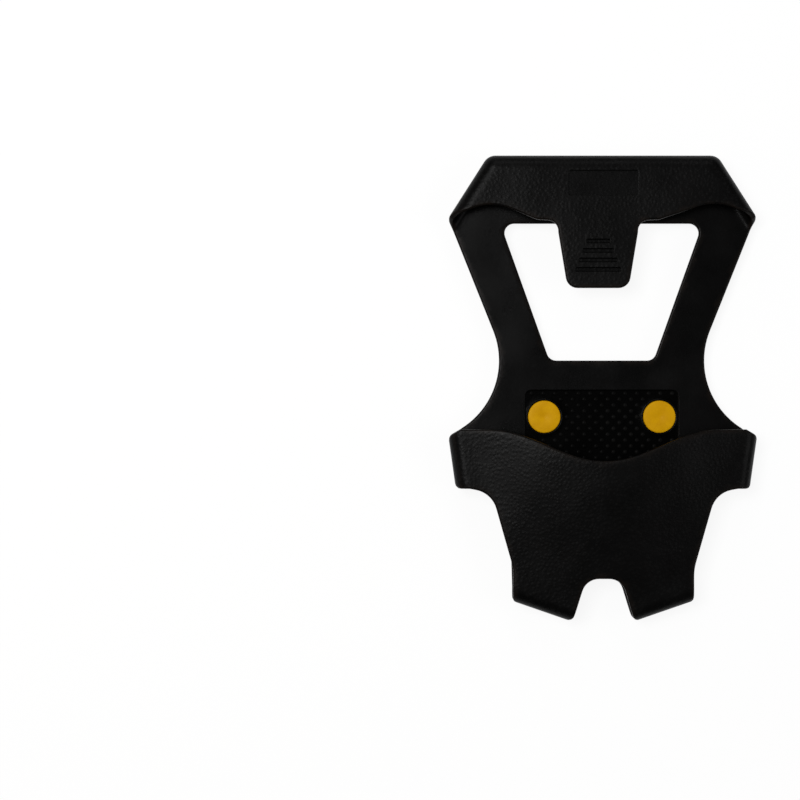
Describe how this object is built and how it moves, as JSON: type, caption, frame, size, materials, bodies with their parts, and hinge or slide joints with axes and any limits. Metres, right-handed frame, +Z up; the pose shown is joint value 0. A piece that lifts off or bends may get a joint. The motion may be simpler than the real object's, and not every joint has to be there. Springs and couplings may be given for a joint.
{
  "type": "ice cleat",
  "caption": "Rubber overshoe ice cleat with a toe cover, side wings, straps, heel band and pull tab, and steel studs held in plastic plugs under a cellular tread.",
  "frame": {"origin": "ground point midway between the toe tips and the rear fold, on the centre line", "axes": "+X to the wearer's left, -Y to the toe, +Z up; the stud tips stand on Z = 0"},
  "size_m": [0.144, 0.2173, 0.0257],
  "materials": {
    "rubber_sole": "satin moulded rubber",
    "rubber_upper": "pebble-grained moulded rubber",
    "rubber_tread": "satin moulded rubber",
    "plug_plastic": "satin injection moulded",
    "stud_steel": "turned"
  },
  "bodies": {
    "forefoot": {"forefoot_sole": "rubber_sole", "forefoot_tread": "rubber_tread", "left_wing_fold": "rubber_upper", "right_wing_fold": "rubber_upper", "left_toe_fold": "rubber_upper", "right_toe_fold": "rubber_upper", "plug_ball_left": "plug_plastic", "stud_ball_left": "stud_steel", "plug_ball_right": "plug_plastic", "stud_ball_right": "stud_steel", "plug_toe_left": "plug_plastic", "stud_toe_left": "stud_steel", "plug_toe_right": "plug_plastic", "stud_toe_right": "stud_steel"},
    "toe_cover": {"toe_cover": "rubber_upper"},
    "straps": {"left_strap": "rubber_sole", "right_strap": "rubber_sole"},
    "heel": {"heel_sole": "rubber_sole", "heel_tread": "rubber_tread", "rear_fold": "rubber_upper", "left_heel_corner": "rubber_upper", "right_heel_corner": "rubber_upper", "left_ear_fold": "rubber_upper", "right_ear_fold": "rubber_upper", "plug_heel_left": "plug_plastic", "stud_heel_left": "stud_steel", "plug_heel_right": "plug_plastic", "stud_heel_right": "stud_steel"},
    "heel_band": {"heel_band": "rubber_upper"},
    "pull_tab": {"pull_tab": "rubber_upper"}
  },
  "joints": [
    {"name": "toe_cover_lift", "type": "hinge", "parent": "forefoot", "child": "toe_cover", "pos_m": [0, -0.0982, 0.0125], "axis": [1, 0, 0], "range_deg": [0, 25], "stiffness_Nm_per_rad": 0.3, "deforming": ["left_wing_fold", "right_wing_fold", "left_toe_fold", "right_toe_fold"]},
    {"name": "strap_flex", "type": "hinge", "parent": "forefoot", "child": "straps", "pos_m": [0, 0.01865, 0.0076], "axis": [1, 0, 0], "range_deg": [0, 90], "stiffness_Nm_per_rad": 0.2},
    {"name": "heel_stretch", "type": "slide", "parent": "straps", "child": "heel", "axis": [0, 1, 0], "range_m": [0, 0.04], "stiffness_N_per_m": 400, "deforming": ["left_strap", "right_strap"]},
    {"name": "heel_band_lift", "type": "hinge", "parent": "heel", "child": "heel_band", "pos_m": [0, 0.10265, 0.0125], "axis": [-1, 0, 0], "range_deg": [0, 80], "stiffness_Nm_per_rad": 0.12, "deforming": ["rear_fold", "left_heel_corner", "right_heel_corner", "left_ear_fold", "right_ear_fold"]},
    {"name": "pull_tab_bend", "type": "hinge", "parent": "heel_band", "child": "pull_tab", "pos_m": [0, 0.07265, 0.0174], "axis": [-1, 0, 0], "range_deg": [-25, 90], "stiffness_Nm_per_rad": 0.03}
  ]
}
